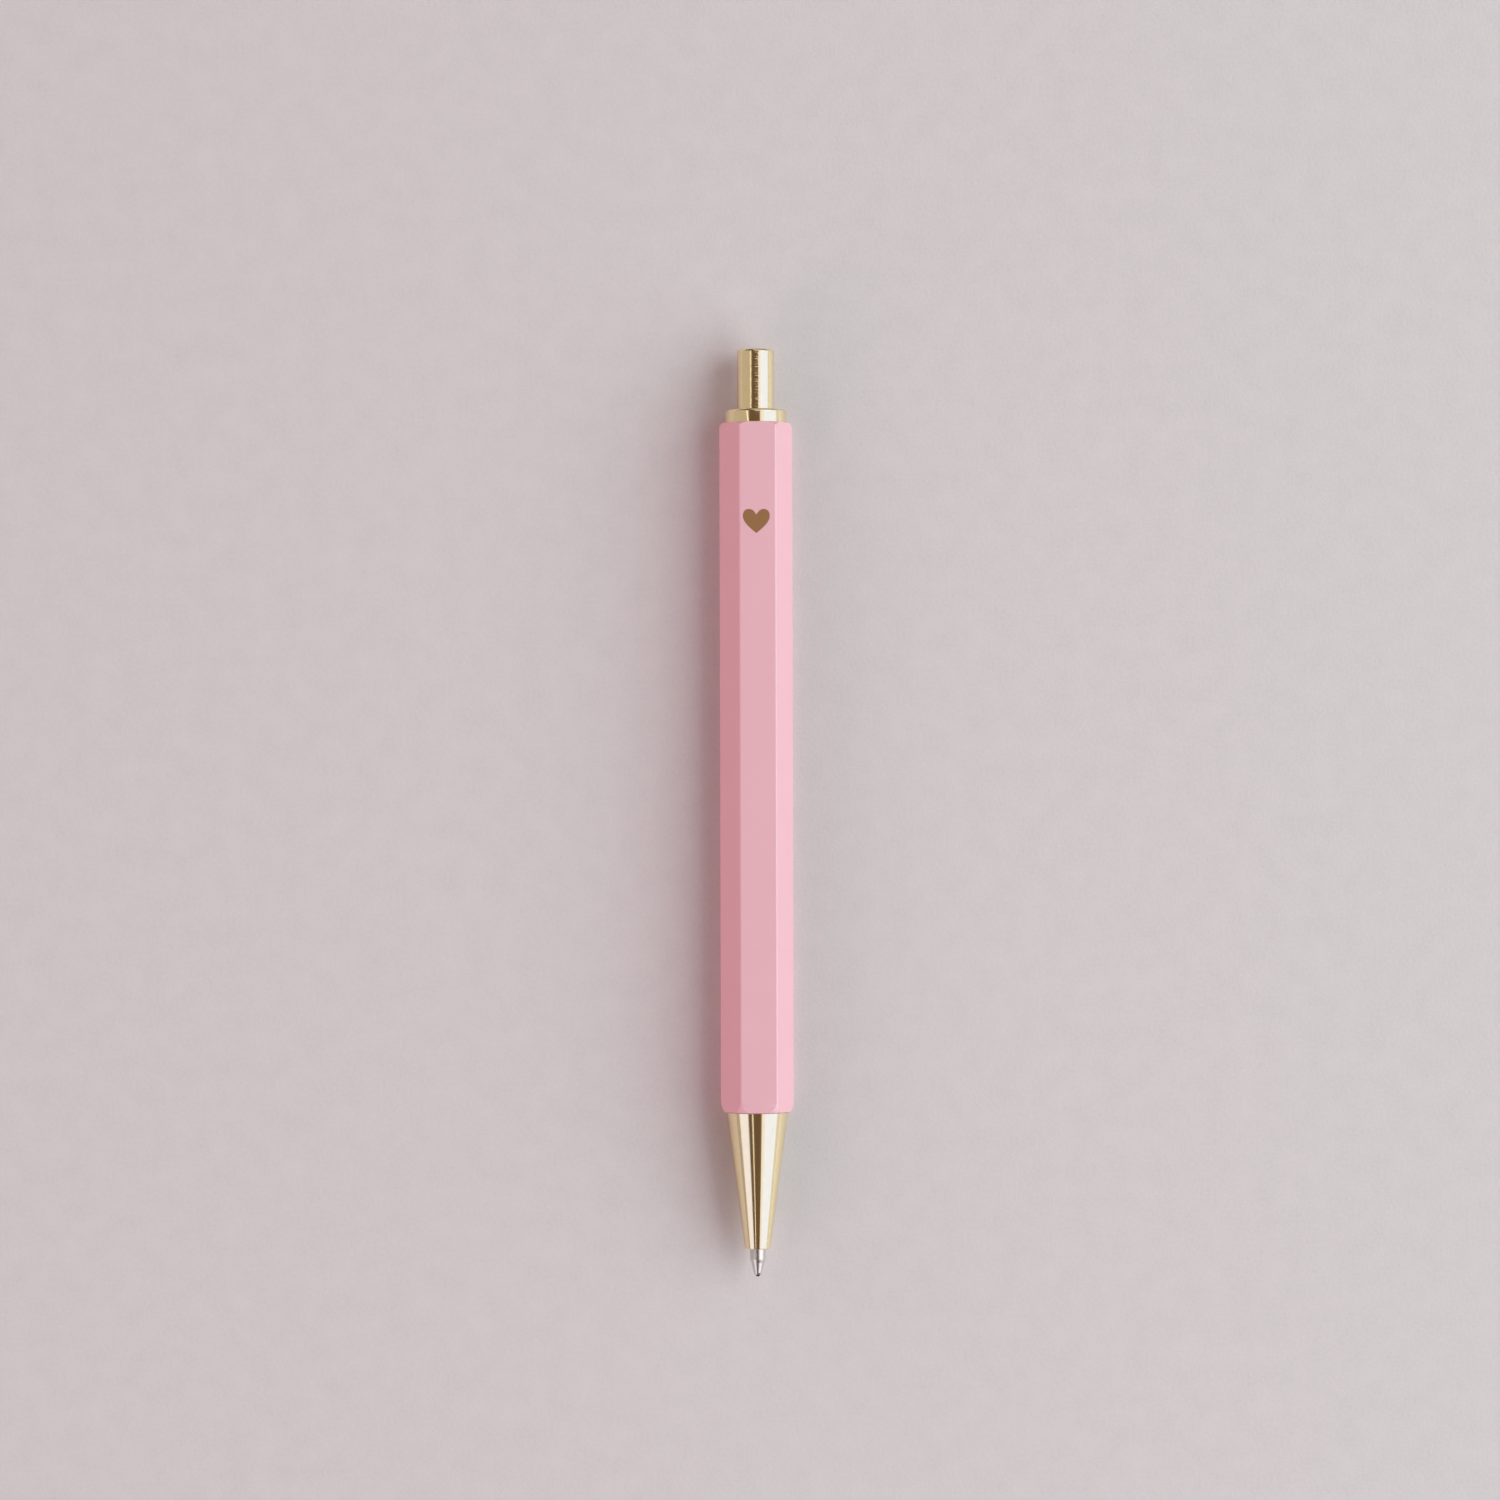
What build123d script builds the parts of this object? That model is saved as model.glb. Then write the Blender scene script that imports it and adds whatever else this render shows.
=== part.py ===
"""Hexagonal push-button ballpoint pen with its writing tip out.

The pen lies on one flat of its barrel: Z = 0 is that flat, the pen's axis runs along Y,
the button end is +Y and the writing tip is -Y. The origin is below the middle of the pen.
The barrel is as long as the refill, the click mechanism and the nose cone make it.
"""

import os
from math import cos, pi, radians, sin, sqrt

from build123d import *

# Driving dimensions in millimetres

# Outside
ACROSS_FLATS = 9.55
FLAT_EDGE_ROUND = 0.35
FRONT_LAND = 0.25
FRONT_TURNED = 1.7
REAR_CHAMFER = 0.4
CONE_LENGTH = 20.5
CONE_STEP = 0.1
CONE_MOUTH_DIAMETER = 3.85
CONE_MOUTH_ROUND = 0.12
COLLAR_STEP = 0.1
COLLAR_HEIGHT = 2.0
COLLAR_ROUND = 0.4
BUTTON_DIAMETER = 5.6
BUTTON_REACH = 9.1
BUTTON_ROUND = 0.45
TIP_REACH = 4.2

# Fits, as clearance on the radius or gap along the pen
SLIDE_CLEARANCE = 0.06
THREAD_CLEARANCE = 0.05
GLUED_CLEARANCE = 0.02
GUIDE_CLEARANCE = 0.1
TIP_CLEARANCE = 0.1
REFILL_CLEARANCE = 0.2
BORE_CLEARANCE = 0.35
SEAM_GAP = 0.05
SEAT_GAP = 0.02
STOP_GAP = 0.2
FRONT_GAP = 0.4
REST_GAP = 0.5

# Strokes of the button from the writing position
RETRACT_STROKE = 5.0
OVER_PRESS = 1.2

# Cone and barrel inside
SHANK_WALL = 0.55
SHANK_LENGTH = 9.0
SHANK_RELIEF = 0.6
CONE_WALL = 0.65
CONE_TIP_WALL = 0.45

# Refill
REFILL_LENGTH = 98.0
TUBE_DIAMETER = 5.9
TUBE_WALL = 0.3
NECK_DIAMETER = 3.0
NECK_FLANGE = 0.8
NECK_PLUG_LENGTH = 4.4
NECK_CHANNEL = 1.2
END_PLUG_HEAD = 2.0
END_PLUG_SPIGOT = 5.0
END_PLUG_VENT = 1.0
END_PLUG_SLOT_WIDTH = 1.0
END_PLUG_SLOT_DEPTH = 0.8
INK_HEADROOM = 13.0

# Writing tip
BALL_DIAMETER = 0.8
BALL_PROUD = 0.25
BALL_CLEARANCE = 0.015
LIP_WALL = 0.06
LIP_HEIGHT = 0.3
POINT_WALL = 0.2
POINT_TAPER = 1.55
TIP_SHOULDER = 0.18
TIP_SHOULDER_LENGTH = 0.5
TIP_DIAMETER = 2.3
TIP_SPIGOT_DIAMETER = 1.7
TIP_SPIGOT_LENGTH = 4.0
TIP_FEED_DIAMETER = 0.36
TIP_FEED_LENGTH = 3.0
TIP_CHANNEL_DIAMETER = 0.9

# Return spring
WIRE_DIAMETER = 0.4
SPRING_INNER_GAP = 0.175
SPRING_OUTER_GAP = 0.125
SPRING_TURNS = 7

# Click mechanism
GUIDES = 3
GUIDE_WIDTH = 0.9
RIB_GAP = 0.1
RIB_HEIGHT = 0.45
HOUSING_WALL = 0.5
SPIGOT_LENGTH = 3.0
RAMP_SLOPE = 1.0
LATCH_GAP = 0.7
SPLINE_LENGTH = 3.5
ROTOR_WAIST = 2.15
CORE_GAP = 0.1
STUB_DIAMETER = 2.0
STUB_LENGTH = 4.0
STUB_END_GAP = 1.85
CROWN_TEETH = 6
CROWN_DEPTH = 0.7
CROWN_NOTCH = 1.15
CROWN_GAP = 0.15
PLUNGER_WAIST = 5.25
KEY_LENGTH = 3.0
BUTTON_WALL = 0.5
BUTTON_END_WALL = 1.2
STEM_END_GAP = 7.1

# Radii that follow from them
AXIS_HEIGHT = ACROSS_FLATS / 2
BUTTON_RADIUS = BUTTON_DIAMETER / 2
BUTTON_INNER = BUTTON_RADIUS - BUTTON_WALL
COLLAR_RADIUS = AXIS_HEIGHT - COLLAR_STEP
RIB_RADIUS = BUTTON_RADIUS + RIB_GAP
SLOT_RADIUS = RIB_RADIUS + RIB_HEIGHT
KEY_RADIUS = SLOT_RADIUS - GUIDE_CLEARANCE
HOUSING_RADIUS = SLOT_RADIUS + HOUSING_WALL
CORE_RADIUS = BUTTON_INNER - CORE_GAP
TUBE_RADIUS = TUBE_DIAMETER / 2
TUBE_BORE = TUBE_RADIUS - TUBE_WALL
PLUG_RADIUS = TUBE_BORE - GLUED_CLEARANCE
CONE_MOUTH_RADIUS = CONE_MOUTH_DIAMETER / 2
CONE_BASE_RADIUS = AXIS_HEIGHT - CONE_STEP
CONE_TIP_BORE = TIP_DIAMETER / 2 + TIP_CLEARANCE
COIL_RADIUS = NECK_DIAMETER / 2 + SPRING_INNER_GAP + WIRE_DIAMETER / 2
SPRING_BORE = COIL_RADIUS + WIRE_DIAMETER / 2 + SPRING_OUTER_GAP
REFILL_BORE = TUBE_RADIUS + REFILL_CLEARANCE
SHANK_RADIUS = REFILL_BORE + SHANK_WALL
BALL_RADIUS = BALL_DIAMETER / 2


def cone_depth(radius):
    """Distance behind the mouth at which the cone's outside has this radius."""
    return (radius - CONE_MOUTH_RADIUS) / (CONE_BASE_RADIUS - CONE_MOUTH_RADIUS) * (CONE_LENGTH - SEAM_GAP)


# Lengths and stations that follow from them
RAMP_RISE = RAMP_SLOPE * GUIDE_WIDTH / 2
SPLINE_START = RETRACT_STROKE + REST_GAP + OVER_PRESS + REST_GAP
ROTOR_LENGTH = SPLINE_START + SPLINE_LENGTH + RAMP_RISE + ROTOR_WAIST
PLUNGER_FRONT = PLUNGER_WAIST + KEY_LENGTH
MECHANISM_LENGTH = SEAT_GAP + ROTOR_LENGTH + CROWN_GAP + PLUNGER_FRONT
HEAD_LENGTH = RETRACT_STROKE + STOP_GAP + SPIGOT_LENGTH + COLLAR_HEIGHT + BUTTON_REACH
Y_POINT = -(REFILL_LENGTH + MECHANISM_LENGTH + HEAD_LENGTH) / 2
Y_MOUTH = Y_POINT + TIP_REACH
Y_FRONT = Y_MOUTH + CONE_LENGTH
Y_SPRING_SEAT = Y_MOUTH + cone_depth(SPRING_BORE + CONE_TIP_WALL)
Y_REFILL_BORE = Y_MOUTH + cone_depth(REFILL_BORE + CONE_WALL)
Y_NECK = Y_SPRING_SEAT + OVER_PRESS + FRONT_GAP
Y_SHOULDER = Y_REFILL_BORE + OVER_PRESS + FRONT_GAP
Y_TUBE = Y_SHOULDER + NECK_FLANGE
Y_INK = Y_TUBE + NECK_PLUG_LENGTH
Y_REFILL_END = Y_POINT + REFILL_LENGTH
Y_TUBE_END = Y_REFILL_END - END_PLUG_HEAD
Y_END_PLUG = Y_TUBE_END - END_PLUG_SPIGOT
Y_ROTOR = Y_REFILL_END + SEAT_GAP
Y_SPLINE = Y_ROTOR + SPLINE_START
Y_SPLINE_TOP = Y_SPLINE + SPLINE_LENGTH
Y_ROTOR_CREST = Y_ROTOR + ROTOR_LENGTH
Y_PLUNGER_CREST = Y_ROTOR_CREST + CROWN_GAP
Y_KEY = Y_PLUNGER_CREST + PLUNGER_WAIST
Y_KEY_TOP = Y_KEY + KEY_LENGTH
Y_SPIGOT = Y_KEY_TOP + RETRACT_STROKE + STOP_GAP
Y_REAR = Y_SPIGOT + SPIGOT_LENGTH
Y_COLLAR = Y_REAR + COLLAR_HEIGHT
Y_END = Y_COLLAR + BUTTON_REACH
Y_HOUSING = Y_SPLINE - OVER_PRESS - REST_GAP
Y_RIB_END = Y_SPLINE_TOP + LATCH_GAP
Y_COIL = Y_SPRING_SEAT + SEAT_GAP + WIRE_DIAMETER / 2
Y_COIL_END = Y_SHOULDER - SEAT_GAP - WIRE_DIAMETER / 2
COIL_PITCH = (Y_COIL_END - Y_COIL) / SPRING_TURNS

PEN_AXIS = Axis((0, 0, AXIS_HEIGHT), (0, 1, 0))
PROFILE = Plane.XY.offset(AXIS_HEIGHT)


def across(y):
    """Plane square to the pen's axis at station y, facing the button."""
    return Plane(origin=(0, y, AXIS_HEIGHT), x_dir=(1, 0, 0), z_dir=(0, 1, 0))


def facing(angle):
    """Plane through the pen's axis that looks outward at an angle from the top, towards +X."""
    a = radians(angle)
    return Plane(origin=(0, 0, AXIS_HEIGHT), x_dir=(cos(a), 0, -sin(a)), z_dir=(sin(a), 0, cos(a)))


def outline(points):
    """Half outline of a turned piece, from (radius, station) points."""
    with BuildSketch(PROFILE) as sketch:
        with BuildLine():
            Polyline(*points, close=True)
        make_face()
    return sketch.sketch


def guide(angle, radius, bottom, top):
    """Outline of a rib, key or spline seen from outside, with its left and right end stations."""
    half = GUIDE_WIDTH / 2
    with BuildSketch(facing(angle).offset(radius)) as sketch:
        with BuildLine():
            Polyline((-half, bottom[0]), (half, bottom[1]), (half, top[1]), (-half, top[0]), close=True)
        make_face()
    return sketch.sketch


def crown_notches(root, crest, first):
    """V notches that leave the teeth of a crown between the root and crest stations."""
    over = crest + (crest - root)
    notches = []
    for i in range(CROWN_TEETH):
        with BuildSketch(facing(first + 360 / CROWN_TEETH * i)) as sketch:
            with BuildLine():
                Polyline((0, root), (CROWN_NOTCH, over), (-CROWN_NOTCH, over), close=True)
            make_face()
        notches.append(sketch.sketch)
    return notches


def guide_angles(first):
    """Angles of the guides, evenly spaced from the first."""
    return [first + 360 / GUIDES * i for i in range(GUIDES)]


RIB_ANGLES = guide_angles(0)
SLOT_ANGLES = guide_angles(180 / GUIDES)

# Barrel: hexagonal bar with rounded long edges, turned ends, and a stepped bore
with BuildPart() as hex_barrel:
    with BuildSketch(across(Y_FRONT)):
        RegularPolygon(ACROSS_FLATS / 2, 6, major_radius=False)
    extrude(amount=Y_REAR - Y_FRONT)
    fillet(hex_barrel.edges().filter_by(Axis.Y), radius=FLAT_EDGE_ROUND)
    corner = AXIS_HEIGHT / cos(pi / 6) - FLAT_EDGE_ROUND * (1 / cos(pi / 6) - 1)
    front_radius = AXIS_HEIGHT + FRONT_LAND
    y_turned = Y_FRONT + FRONT_TURNED
    y_chamfer = Y_REAR - REAR_CHAMFER
    with BuildSketch(PROFILE):
        with BuildLine():
            Line((0, Y_FRONT), (front_radius, Y_FRONT))
            TangentArc((corner, y_turned), (front_radius, Y_FRONT), tangent=(0, -1))
            Polyline(
                (corner, y_turned),
                (corner, y_chamfer),
                (corner - REAR_CHAMFER, Y_REAR),
                (0, Y_REAR),
                (0, Y_FRONT),
            )
        make_face()
    revolve(axis=PEN_AXIS, mode=Mode.INTERSECT)
    bore = TUBE_RADIUS + BORE_CLEARANCE
    socket = SHANK_RADIUS + THREAD_CLEARANCE
    socket_end = Y_FRONT + SHANK_LENGTH + SHANK_RELIEF
    housing_bore = HOUSING_RADIUS + GLUED_CLEARANCE
    stepped_bore = outline(
        [
            (0, Y_FRONT),
            (socket, Y_FRONT),
            (socket, socket_end),
            (bore, socket_end),
            (bore, Y_HOUSING),
            (housing_bore, Y_HOUSING),
            (housing_bore, Y_REAR),
            (0, Y_REAR),
        ]
    )
    revolve(stepped_bore, axis=PEN_AXIS, mode=Mode.SUBTRACT)

# Nose cone: turned cone with a shank that goes into the barrel
with BuildPart() as nose_cone:
    y_base = Y_FRONT - SEAM_GAP
    y_shank_end = Y_FRONT + SHANK_LENGTH
    cone_wall = outline(
        [
            (CONE_TIP_BORE, Y_MOUTH),
            (CONE_MOUTH_RADIUS, Y_MOUTH),
            (CONE_BASE_RADIUS, y_base),
            (SHANK_RADIUS, y_base),
            (SHANK_RADIUS, y_shank_end),
            (REFILL_BORE, y_shank_end),
            (REFILL_BORE, Y_REFILL_BORE),
            (SPRING_BORE, Y_REFILL_BORE),
            (SPRING_BORE, Y_SPRING_SEAT),
            (CONE_TIP_BORE, Y_SPRING_SEAT),
        ]
    )
    revolve(cone_wall, axis=PEN_AXIS)
    mouth_edges = nose_cone.edges().filter_by(GeomType.CIRCLE).group_by(Axis.Y)[0]
    fillet(mouth_edges.sort_by(SortBy.RADIUS)[-1], radius=CONE_MOUTH_ROUND)

# End collar: ring on the barrel's end, with a spigot that traps the cam housing
with BuildPart() as end_collar:
    button_bore = BUTTON_RADIUS + SLIDE_CLEARANCE
    collar_wall = outline(
        [
            (button_bore, Y_SPIGOT),
            (HOUSING_RADIUS, Y_SPIGOT),
            (HOUSING_RADIUS, Y_REAR),
            (COLLAR_RADIUS, Y_REAR),
            (COLLAR_RADIUS, Y_COLLAR),
            (button_bore, Y_COLLAR),
        ]
    )
    revolve(collar_wall, axis=PEN_AXIS)
    rear_edges = end_collar.edges().filter_by(GeomType.CIRCLE).group_by(Axis.Y)[-1]
    fillet(rear_edges.sort_by(SortBy.RADIUS)[-1], radius=COLLAR_ROUND)

# Cam housing: sleeve with guide ribs, whose front ends are the ramps that hold the rotor
with BuildPart() as cam_housing:
    sleeve_wall = outline(
        [
            (SLOT_RADIUS, Y_HOUSING),
            (HOUSING_RADIUS, Y_HOUSING),
            (HOUSING_RADIUS, Y_SPIGOT),
            (SLOT_RADIUS, Y_SPIGOT),
        ]
    )
    revolve(sleeve_wall, axis=PEN_AXIS)
    rib_ramp = (Y_RIB_END - RAMP_RISE, Y_RIB_END + RAMP_RISE)
    for angle in RIB_ANGLES:
        rib = guide(angle, RIB_RADIUS, rib_ramp, (Y_SPIGOT, Y_SPIGOT))
        extrude(rib, amount=RIB_HEIGHT + HOUSING_WALL / 2)

# Push button: cup that runs in the collar
with BuildPart() as push_button:
    y_cup_floor = Y_END - BUTTON_END_WALL
    cup_wall = outline(
        [
            (BUTTON_INNER, Y_KEY_TOP),
            (BUTTON_RADIUS, Y_KEY_TOP),
            (BUTTON_RADIUS, Y_END),
            (0, Y_END),
            (0, y_cup_floor),
            (BUTTON_INNER, y_cup_floor),
        ]
    )
    revolve(cup_wall, axis=PEN_AXIS)
    button_edges = push_button.edges().filter_by(GeomType.CIRCLE).group_by(Axis.Y)[-1]
    fillet(button_edges, radius=BUTTON_ROUND)

# Plunger: stem in the button, keys that run in the housing's slots, and a toothed crown
with BuildPart() as plunger:
    stem_radius = BUTTON_INNER - GLUED_CLEARANCE
    flange_radius = BUTTON_RADIUS - SLIDE_CLEARANCE
    stub_bore = STUB_DIAMETER / 2 + SLIDE_CLEARANCE
    y_stub_end = Y_ROTOR_CREST + STUB_LENGTH
    y_bore_end = y_stub_end + STUB_END_GAP
    y_stem_end = y_cup_floor - STEM_END_GAP
    plunger_wall = outline(
        [
            (stub_bore, Y_PLUNGER_CREST),
            (CORE_RADIUS, Y_PLUNGER_CREST),
            (CORE_RADIUS, Y_KEY),
            (flange_radius, Y_KEY),
            (flange_radius, Y_KEY_TOP),
            (stem_radius, Y_KEY_TOP),
            (stem_radius, y_stem_end),
            (0, y_stem_end),
            (0, y_bore_end),
            (stub_bore, y_bore_end),
        ]
    )
    revolve(plunger_wall, axis=PEN_AXIS)
    for angle in SLOT_ANGLES:
        key = guide(angle, CORE_RADIUS, (Y_KEY, Y_KEY), (Y_KEY_TOP, Y_KEY_TOP))
        extrude(key, amount=KEY_RADIUS - CORE_RADIUS)
    for notch in crown_notches(Y_PLUNGER_CREST + CROWN_DEPTH, Y_PLUNGER_CREST, 0):
        extrude(notch, amount=SLOT_RADIUS, mode=Mode.SUBTRACT)

# Rotor: splines with ramped rear ends, a toothed crown, and a stub that runs in the plunger
with BuildPart() as rotor_cam:
    y_crown_root = Y_ROTOR_CREST - CROWN_DEPTH
    core = outline(
        [
            (0, Y_ROTOR),
            (CORE_RADIUS, Y_ROTOR),
            (CORE_RADIUS, Y_ROTOR_CREST),
            (0, Y_ROTOR_CREST),
        ]
    )
    revolve(core, axis=PEN_AXIS)
    for notch in crown_notches(y_crown_root, Y_ROTOR_CREST, 180 / CROWN_TEETH):
        extrude(notch, amount=SLOT_RADIUS, mode=Mode.SUBTRACT)
    stub = outline(
        [
            (0, Y_SPLINE),
            (STUB_DIAMETER / 2, Y_SPLINE),
            (STUB_DIAMETER / 2, y_stub_end),
            (0, y_stub_end),
        ]
    )
    revolve(stub, axis=PEN_AXIS)
    spline_ramp = (Y_SPLINE_TOP - RAMP_RISE, Y_SPLINE_TOP + RAMP_RISE)
    for angle in RIB_ANGLES:
        spline = guide(angle, CORE_RADIUS / 2, (Y_SPLINE, Y_SPLINE), spline_ramp)
        extrude(spline, amount=KEY_RADIUS - CORE_RADIUS / 2)

# Refill neck: holds the point, carries the spring's seat, and plugs the tube
with BuildPart() as refill_nose:
    tip_socket = TIP_SPIGOT_DIAMETER / 2 + GLUED_CLEARANCE
    y_socket_end = Y_NECK + TIP_SPIGOT_LENGTH + SEAT_GAP
    neck_wall = outline(
        [
            (tip_socket, Y_NECK),
            (NECK_DIAMETER / 2, Y_NECK),
            (NECK_DIAMETER / 2, Y_SHOULDER),
            (TUBE_RADIUS, Y_SHOULDER),
            (TUBE_RADIUS, Y_TUBE),
            (PLUG_RADIUS, Y_TUBE),
            (PLUG_RADIUS, Y_INK),
            (NECK_CHANNEL / 2, Y_INK),
            (NECK_CHANNEL / 2, y_socket_end),
            (tip_socket, y_socket_end),
        ]
    )
    revolve(neck_wall, axis=PEN_AXIS)

# Ink tube
with BuildPart() as refill_tube:
    tube_section = outline(
        [
            (TUBE_BORE, Y_TUBE),
            (TUBE_RADIUS, Y_TUBE),
            (TUBE_RADIUS, Y_TUBE_END),
            (TUBE_BORE, Y_TUBE_END),
        ]
    )
    revolve(tube_section, axis=PEN_AXIS)

# End plug of the refill: slotted head and a vent
with BuildPart() as refill_end_plug:
    plug_section = outline(
        [
            (END_PLUG_VENT / 2, Y_END_PLUG),
            (PLUG_RADIUS, Y_END_PLUG),
            (PLUG_RADIUS, Y_TUBE_END),
            (TUBE_RADIUS, Y_TUBE_END),
            (TUBE_RADIUS, Y_REFILL_END),
            (END_PLUG_VENT / 2, Y_REFILL_END),
        ]
    )
    revolve(plug_section, axis=PEN_AXIS)
    with BuildSketch(across(Y_REFILL_END)):
        Rectangle(2 * TUBE_DIAMETER, END_PLUG_SLOT_WIDTH)
        Rectangle(END_PLUG_SLOT_WIDTH, 2 * TUBE_DIAMETER)
    extrude(amount=-END_PLUG_SLOT_DEPTH, mode=Mode.SUBTRACT)

# Ink in the tube
with BuildPart() as ink_column:
    y_ink_end = Y_END_PLUG - INK_HEADROOM
    ink = outline([(0, Y_INK), (PLUG_RADIUS, Y_INK), (PLUG_RADIUS, y_ink_end), (0, y_ink_end)])
    revolve(ink, axis=PEN_AXIS)

# Writing tip: turned point with a ball socket and an ink channel
with BuildPart() as writing_tip:
    y_ball = Y_POINT + BALL_RADIUS
    y_lip = Y_POINT + BALL_PROUD
    y_point = y_lip + LIP_HEIGHT
    y_taper = y_point + POINT_TAPER
    y_tip_shoulder = y_taper + TIP_SHOULDER_LENGTH
    y_spigot_end = Y_NECK + TIP_SPIGOT_LENGTH
    y_channel = y_ball + TIP_FEED_LENGTH
    point = outline(
        [
            (0, y_lip),
            (BALL_RADIUS + LIP_WALL, y_lip),
            (BALL_RADIUS + POINT_WALL, y_point),
            (TIP_DIAMETER / 2 - TIP_SHOULDER, y_taper),
            (TIP_DIAMETER / 2, y_tip_shoulder),
            (TIP_DIAMETER / 2, Y_NECK),
            (TIP_SPIGOT_DIAMETER / 2, Y_NECK),
            (TIP_SPIGOT_DIAMETER / 2, y_spigot_end),
            (0, y_spigot_end),
        ]
    )
    revolve(point, axis=PEN_AXIS)
    channel = outline(
        [
            (0, y_ball),
            (TIP_FEED_DIAMETER / 2, y_ball),
            (TIP_FEED_DIAMETER / 2, y_channel),
            (TIP_CHANNEL_DIAMETER / 2, y_channel),
            (TIP_CHANNEL_DIAMETER / 2, y_spigot_end),
            (0, y_spigot_end),
        ]
    )
    revolve(channel, axis=PEN_AXIS, mode=Mode.SUBTRACT)
    with Locations((0, y_ball, AXIS_HEIGHT)):
        Sphere(BALL_RADIUS + BALL_CLEARANCE, mode=Mode.SUBTRACT)

# Ball
with BuildPart() as writing_ball:
    with Locations((0, y_ball, AXIS_HEIGHT)):
        Sphere(BALL_RADIUS)


# Return spring, between the seat in the cone and the refill's shoulder
def coil_point(turns):
    """Point on the middle of the wire, so many turns from the front."""
    a = 2 * pi * turns
    return Vector(COIL_RADIUS * sin(a), Y_COIL + COIL_PITCH * turns, AXIS_HEIGHT + COIL_RADIUS * cos(a))


def coil_direction(turns):
    """Direction of the wire, so many turns from the front."""
    a = 2 * pi * turns
    around = 2 * pi * COIL_RADIUS
    return Vector(around * cos(a), COIL_PITCH, -around * sin(a)).normalized()


def biarc_middle(p0, d0, p1, d1):
    """Point where an arc that leaves p0 along d0 and one that reaches p1 along d1 join smoothly."""
    v = p1 - p0
    a = 2 * (1 - d0.dot(d1))
    b = v.dot(d0 + d1)
    reach = (-b + sqrt(b * b + a * v.dot(v))) / a
    return (p0 + p1 + (d0 - d1) * reach) * 0.5


with BuildPart() as return_spring:
    with BuildLine() as coil:
        for i in range(SPRING_TURNS * 4):
            p0 = coil_point(i / 4)
            p1 = coil_point((i + 1) / 4)
            d0 = coil_direction(i / 4)
            d1 = coil_direction((i + 1) / 4)
            middle = biarc_middle(p0, d0, p1, d1)
            TangentArc(p0, middle, tangent=d0)
            TangentArc(p1, middle, tangent=-d1)
    with BuildSketch(Plane(origin=coil_point(0), z_dir=coil_direction(0))):
        Circle(WIRE_DIAMETER / 2)
    sweep(path=coil.wires()[0])

samples = [coil_point(i / 40) for i in range(SPRING_TURNS * 40 + 1)]
nearest = min((p - q).length for i, p in enumerate(samples) for q in samples[i + 20 :])
print(f"return spring: least gap to itself {nearest - WIRE_DIAMETER:.2f} mm")

# One STEP file per piece
os.makedirs("parts", exist_ok=True)
pieces = {
    "hex_barrel": hex_barrel,
    "nose_cone": nose_cone,
    "end_collar": end_collar,
    "cam_housing": cam_housing,
    "push_button": push_button,
    "plunger": plunger,
    "rotor_cam": rotor_cam,
    "refill_nose": refill_nose,
    "refill_tube": refill_tube,
    "refill_end_plug": refill_end_plug,
    "ink_column": ink_column,
    "writing_tip": writing_tip,
    "writing_ball": writing_ball,
    "return_spring": return_spring,
}
for node, piece in pieces.items():
    piece.part.label = node
    export_step(piece.part, f"parts/{node}.step")
    print(f"{node}: {piece.part.volume:.2f} mm3")
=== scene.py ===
"""Looks of a hexagonal click pen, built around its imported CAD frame.

The pen lies along Y on one flat of its barrel, with the button at +Y and the point at -Y.
Every length is in metres, in the frame of the CAD model.
"""

import math

import bmesh
import bpy
from bpy.props import FloatProperty, FloatVectorProperty, PointerProperty
from mathutils import Matrix, Vector


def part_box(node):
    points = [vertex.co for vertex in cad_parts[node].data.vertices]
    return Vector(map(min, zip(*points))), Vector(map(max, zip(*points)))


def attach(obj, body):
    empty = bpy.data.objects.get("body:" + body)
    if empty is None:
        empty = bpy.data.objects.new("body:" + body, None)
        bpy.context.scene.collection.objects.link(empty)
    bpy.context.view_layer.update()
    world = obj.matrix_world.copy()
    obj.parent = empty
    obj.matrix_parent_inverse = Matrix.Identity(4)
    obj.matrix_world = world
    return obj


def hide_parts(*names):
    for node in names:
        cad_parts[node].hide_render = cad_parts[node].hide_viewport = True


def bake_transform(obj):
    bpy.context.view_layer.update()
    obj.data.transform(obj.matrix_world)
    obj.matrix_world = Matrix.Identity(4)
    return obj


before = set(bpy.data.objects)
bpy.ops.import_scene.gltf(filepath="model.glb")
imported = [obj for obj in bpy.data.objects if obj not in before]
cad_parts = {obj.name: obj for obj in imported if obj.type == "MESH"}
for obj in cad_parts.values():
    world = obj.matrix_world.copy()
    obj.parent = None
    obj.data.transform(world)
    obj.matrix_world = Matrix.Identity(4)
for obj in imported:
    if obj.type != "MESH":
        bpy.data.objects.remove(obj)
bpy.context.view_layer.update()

bl_info = {
    "name": "Hexagonal click pen",
    "version": (1, 0, 0),
    "blender": (4, 5, 0),
    "location": "3D View > Sidebar > Pen",
    "description": "Builds the visible pieces of a click pen around its CAD frame",
    "category": "Object",
}

# How finely the pieces are cut
TURNED_SIDES = 128
ROUND_STEPS = 8
FLAT_STEPS = 4
CORNER_STEPS = 12
TURNED_END_STEPS = 14
THREAD_STEPS = 10
WIRE_SIDES = 14
COIL_STEPS = 40
BALL_STEPS = 40
HEART_STEPS = 24
SHARP_ANGLE = math.radians(22)
WELD = 1e-8
ON_WALL = 1e-6
MICRON = 1e-6

# Places that come from the frame
HEX_SIDES = 6
HALF_SIDE = math.pi / HEX_SIDES
BARREL_LOW, BARREL_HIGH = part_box("hex_barrel")
HALF_FLATS = (BARREL_HIGH.z - BARREL_LOW.z) / 2
AXIS_HEIGHT = BARREL_LOW.z + HALF_FLATS
PEN_AXIS = Vector((0, 1, 0))

# Turns of the spring, and the pitch of its closed turns in diameters of the wire
CLOSED_TURNS = 1.25
OPEN_TURNS = 5.5
CLOSED_PITCH = 1.06

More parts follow.
